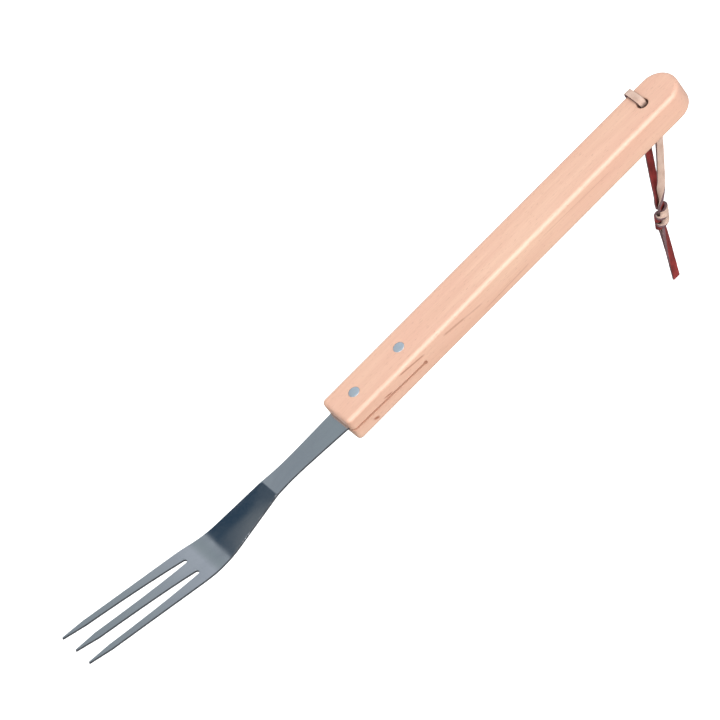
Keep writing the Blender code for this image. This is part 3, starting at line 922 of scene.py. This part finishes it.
def add_sheet(shape):
    """Both faces of the sheet, as rows and columns."""
    faces_across = 4
    grid = []
    for station, strips in blade_rows():
        line = []
        for low, high in strips:
            columns = evenly(low, high, faces_across)
            for level in (SHEET / 2, -SHEET / 2):
                line.append([shape.verts.new(blade_point(station, y, level)) for y in columns])
        grid.append(line)
    for line, following in zip(grid, grid[1:]):
        for strip, next_strip in zip(line, following):
            for i in range(faces_across):
                shape.faces.new((strip[i], strip[i + 1], next_strip[i + 1], next_strip[i]))
    bmesh.ops.remove_doubles(shape, verts=shape.verts, dist=2e-6)
    bmesh.ops.dissolve_degenerate(shape, edges=shape.edges, dist=1e-6)


def make_blade(face_steel, edge_steel):
    """The sheet, with walls at its free edges, all its edges rounded and the holes of the tang cut."""
    shape = bmesh.new()
    add_sheet(shape)
    bridge_walls(shape, [edge for edge in shape.edges if len(edge.link_faces) == 1])
    sharp = [e for e in shape.edges if len(e.link_faces) == 2 and e.calc_face_angle(0) > math.radians(60)]
    bmesh.ops.recalc_face_normals(shape, faces=shape.faces)
    bmesh.ops.bevel(
        shape, geom=sharp, offset=SHEET_ROUNDING, segments=2, profile=0.5, affect="EDGES", clamp_overlap=True
    )
    for face in shape.faces:
        face.material_index = 1 if is_wall(face) else 0
    blade = finish_mesh("blade_sheet", shape, [face_steel, edge_steel], TANG_LINE)
    radius = BARREL_RADIUS + RIVET_GAP
    profile = [(0, HALF_THICK), (radius, HALF_THICK), (radius, -HALF_THICK), (0, -HALF_THICK)]
    cut(blade, [turned("tang_hole", profile, on_axis(at), steps=32) for at in RIVETS_BEHIND_FRONT.values()])
    settle(blade)
    smooth_faces(blade, 40)
    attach(blade, "fork")
    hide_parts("blade")


def bridge_walls(shape, rims):
    """A wall between each free edge of the upper face and the one below it."""
    verts = dict.fromkeys(vert for edge in rims for vert in edge.verts)
    partner = {}
    by_side = {}
    for vert in sorted(verts, key=lambda v: (round(v.co.y, 7), v.co.x, v.co.z)):
        by_side.setdefault(round(vert.co.y * 1e7), []).append(vert)
    for group in by_side.values():
        for vert in group:
            others = [o for o in group if o is not vert and abs((o.co - vert.co).length - SHEET) < 2e-5]
            if others:
                partner[vert] = min(others, key=lambda o: abs((o.co - vert.co).length - SHEET))
    done = set()
    for edge in rims:
        a, b = edge.verts
        if a in partner and b in partner:
            c, d = partner[b], partner[a]
            key = frozenset((a, b, c, d))
            if key not in done and len(key) == 4:
                done.add(key)
                shape.faces.new((a, b, c, d))


def is_wall(face):
    """True for the faces across the sheet's thickness; the faces of the sheet look up or down."""
    return abs(face.normal.z) < 0.72


# ---------------------------------------------------------------- lace


def smooth_way(stops, step):
    """Evenly spaced (place, width direction) pairs on a smooth curve through the stops."""
    first, last = stops[0], stops[-1]
    ends = [(first[0] * 2 - stops[1][0], first[1])] + stops + [(last[0] * 2 - stops[-2][0], last[1])]
    fine = []
    for (before, _), (start, turn), (end, next_turn), (after, _) in zip(ends, ends[1:], ends[2:], ends[3:]):
        for share in range(16):
            t = share / 16
            along = (end - before) * 0.5 * t + (before * 2 - start * 5 + end * 4 - after) * 0.5 * t * t
            place = start + along + (start * 3 - before - end * 3 + after) * 0.5 * t ** 3
            fine.append((place, turn.lerp(next_turn, t)))
    fine.append(last)
    total = sum((b[0] - a[0]).length for a, b in zip(fine, fine[1:]))
    count = round(total / step)
    way = [fine[0]]
    walked = 0.0
    for (start, turn), (end, next_turn) in zip(fine, fine[1:]):
        length = (end - start).length
        while len(way) < count and walked + length >= total * len(way) / count:
            share = (total * len(way) / count - walked) / length
            way.append((start.lerp(end, share), turn.lerp(next_turn, share)))
        walked += length
    return way + [fine[-1]]


def stops_in(place, stops):
    """Stops as vectors in metres, taken from the axes of the given matrix into the frame's."""
    turned_stops = []
    for point, degrees in stops:
        angle = math.radians(degrees)
        width = place.to_3x3() @ Vector((math.cos(angle), math.sin(angle), 0))
        turned_stops.append((place @ (Vector(point) * MM), width))
    return turned_stops


def knot_stops(pivot):
    """Nearly two turns down round the other strand, with half twists that change the side facing out."""
    first, last = KNOT_TURN
    stops = []
    count = 36
    for step in range(count + 1):
        degrees = first + (last - first) * step / count
        angle = math.radians(degrees)
        share = 1 + sum(min(1.0, max(0.0, (degrees - start) / (end - start))) for start, end in KNOT_TWISTS)
        swell = 1 + 0.13 * math.sin(math.pi * share) ** 2
        outward = Vector((math.cos(angle), math.sin(angle), 0))
        height = KNOT_TOP * (1 - 2 * step / count) + KNOT_TILT * math.cos(angle - CAMERA_AZIMUTH)
        reach = Vector((outward.x * KNOT_RADIUS[0] * swell, outward.y * KNOT_RADIUS[1] * swell, height))
        width = -Vector((0, 0, 1)) * math.cos(math.pi * share) + outward * math.sin(math.pi * share)
        stops.append((pivot @ ((KNOT_CENTRE + reach) * MM), width))
    return stops


def strip_section():
    """Points round the strip's section, across it and through it. The grain side is at the positive end."""
    half, thin, corner = LACE_WIDTH / 2, LACE_THICKNESS / 2, LACE_CORNER
    points = []
    for centre, start in (
        ((half - corner, thin - corner), 0),
        ((corner - half, thin - corner), 90),
        ((corner - half, corner - thin), 180),
        ((half - corner, corner - thin), 270),
    ):
        for step in range(4):
            angle = math.radians(start + 30 * step)
            points.append((centre[0] + corner * math.cos(angle), centre[1] + corner * math.sin(angle)))
    section = []
    for i, (point, following) in enumerate(zip(points, points[1:] + points[:1])):
        section.append(point)
        if i in (3, 11):  # the ends of the two wide sides
            for share in (0.25, 0.5, 0.75):
                section.append(tuple(a + (b - a) * share for a, b in zip(point, following)))
    return section


def add_rings(shape, name, way, along, cut_slant):
    """The strip's vertices, as a ring of its section at each place, with a slightly uneven surface."""
    section = strip_section()
    places = [place for place, _ in way]
    rings = []
    neighbours = zip([places[0]] + places, places[1:] + [places[-1]], way, along)
    for before, after, (place, turn), walked in neighbours:
        forward = (after - before).normalized()
        width = (turn - forward * turn.dot(forward)).normalized()
        out = forward.cross(width)
        uneven = 1 + 0.035 * noise.noise(Vector((walked * 260, len(name), 0)))
        thick = 1 + 0.06 * noise.noise(Vector((walked * 190, len(name), 7)))
        slant = cut_slant * smoothstep((walked - along[-1] + LACE_SLANT_REACH) / LACE_SLANT_REACH)
        ring = []
        for across, through in section:
            wave = 0.05 * MM * noise.noise(Vector((walked * 420, across * 900, through * 900 + 3)))
            point = place + width * (across * uneven) + out * (through * thick + wave)
            ring.append(shape.verts.new(point + forward * (slant * across)))
        rings.append(ring)
    return rings


def side_of_strip(first, second):
    """Material of the faces between two points of the section: 0 grain, 1 flesh, 2 cut edge."""
    middle = (Vector(first) + Vector(second)) / 2
    if abs(middle.y) <= LACE_THICKNESS / 2 - 0.4 * LACE_CORNER:
        return 2
    return 0 if middle.y > 0 else 1


def make_strip(name, way, cut_slant, paints):
    """The strip along its way. cut_slant is how far the far end's cut runs along per unit of width."""
    shape = bmesh.new()
    layer = shape.loops.layers.uv.new("strip")
    along = [0.0]
    for (a, _), (b, _) in zip(way, way[1:]):
        along.append(along[-1] + (b - a).length)
    rings = add_rings(shape, name, way, along, cut_slant)
    section = strip_section()
    size = len(section)
    around = [0.0]
    for a, b in zip(section, section[1:] + section[:1]):
        around.append(around[-1] + math.hypot(b[0] - a[0], b[1] - a[1]))
    for k, (ring, following) in enumerate(zip(rings, rings[1:])):
        for i in range(size):
            j = (i + 1) % size
            face = shape.faces.new((ring[i], ring[j], following[j], following[i]))
            face.material_index = side_of_strip(section[i], section[j])
            corners = [(k, i), (k, i + 1), (k + 1, i + 1), (k + 1, i)]
            for loop, (at, turn) in zip(face.loops, corners):
                loop[layer].uv = (along[at], around[turn])
    for ring, order in ((rings[0], -1), (rings[-1], 1)):
        face = shape.faces.new(ring[::order])
        face.material_index = 2
        for loop in face.loops:
            loop[layer].uv = (loop.vert.co.x, loop.vert.co.z)
    strip = finish_mesh(name, shape, paints)
    strip.data.shade_smooth()
    strip.data.set_sharp_from_angle(angle=math.radians(50))
    return strip


def make_lace():
    """Both halves of the lace, from the middle of the hole to their cut ends."""
    hole = FORK @ Matrix.Translation((HOLE_X, 0, 0))
    pivot = Matrix.Translation(PIVOT)
    under = stops_in(hole, LACE_IN_HOLE) + stops_in(pivot, STRAND_UNDER)
    over = stops_in(hole, LACE_OVER_EDGE) + stops_in(pivot, STRAND_OVER)
    over += knot_stops(pivot) + stops_in(pivot, TAIL_OVER)
    paints = [leather(*side) for side in LEATHER_SIDES]
    halves = (  # name, stops, slant of the cut, height of the hole's mouth, CAD nodes
        ("under", under, -0.4, -HALF_THICK, ("lace_strand_under", "lace_tail_a")),
        ("over", over, 0.4, HALF_THICK, ("lace_bight", "lace_strand_over", "lace_knot", "lace_tail_b")),
    )
    for half, stops, slant, mouth, nodes in halves:
        way = smooth_way(stops, LACE_STEP)
        strip = make_strip("lace_" + half, way, slant, paints)
        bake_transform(strip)
        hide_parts(*nodes)


def main():
    make_camera()
    make_lace()
    make_floor()
    make_light()
    make_handle(beech())
    make_blade(polished_steel(), sheared_edge())
    for place, station in RIVETS_BEHIND_FRONT.items():
        make_rivet(place, station, rivet_steel())


bpy.context.scene.view_settings.view_transform = "Standard"
main()
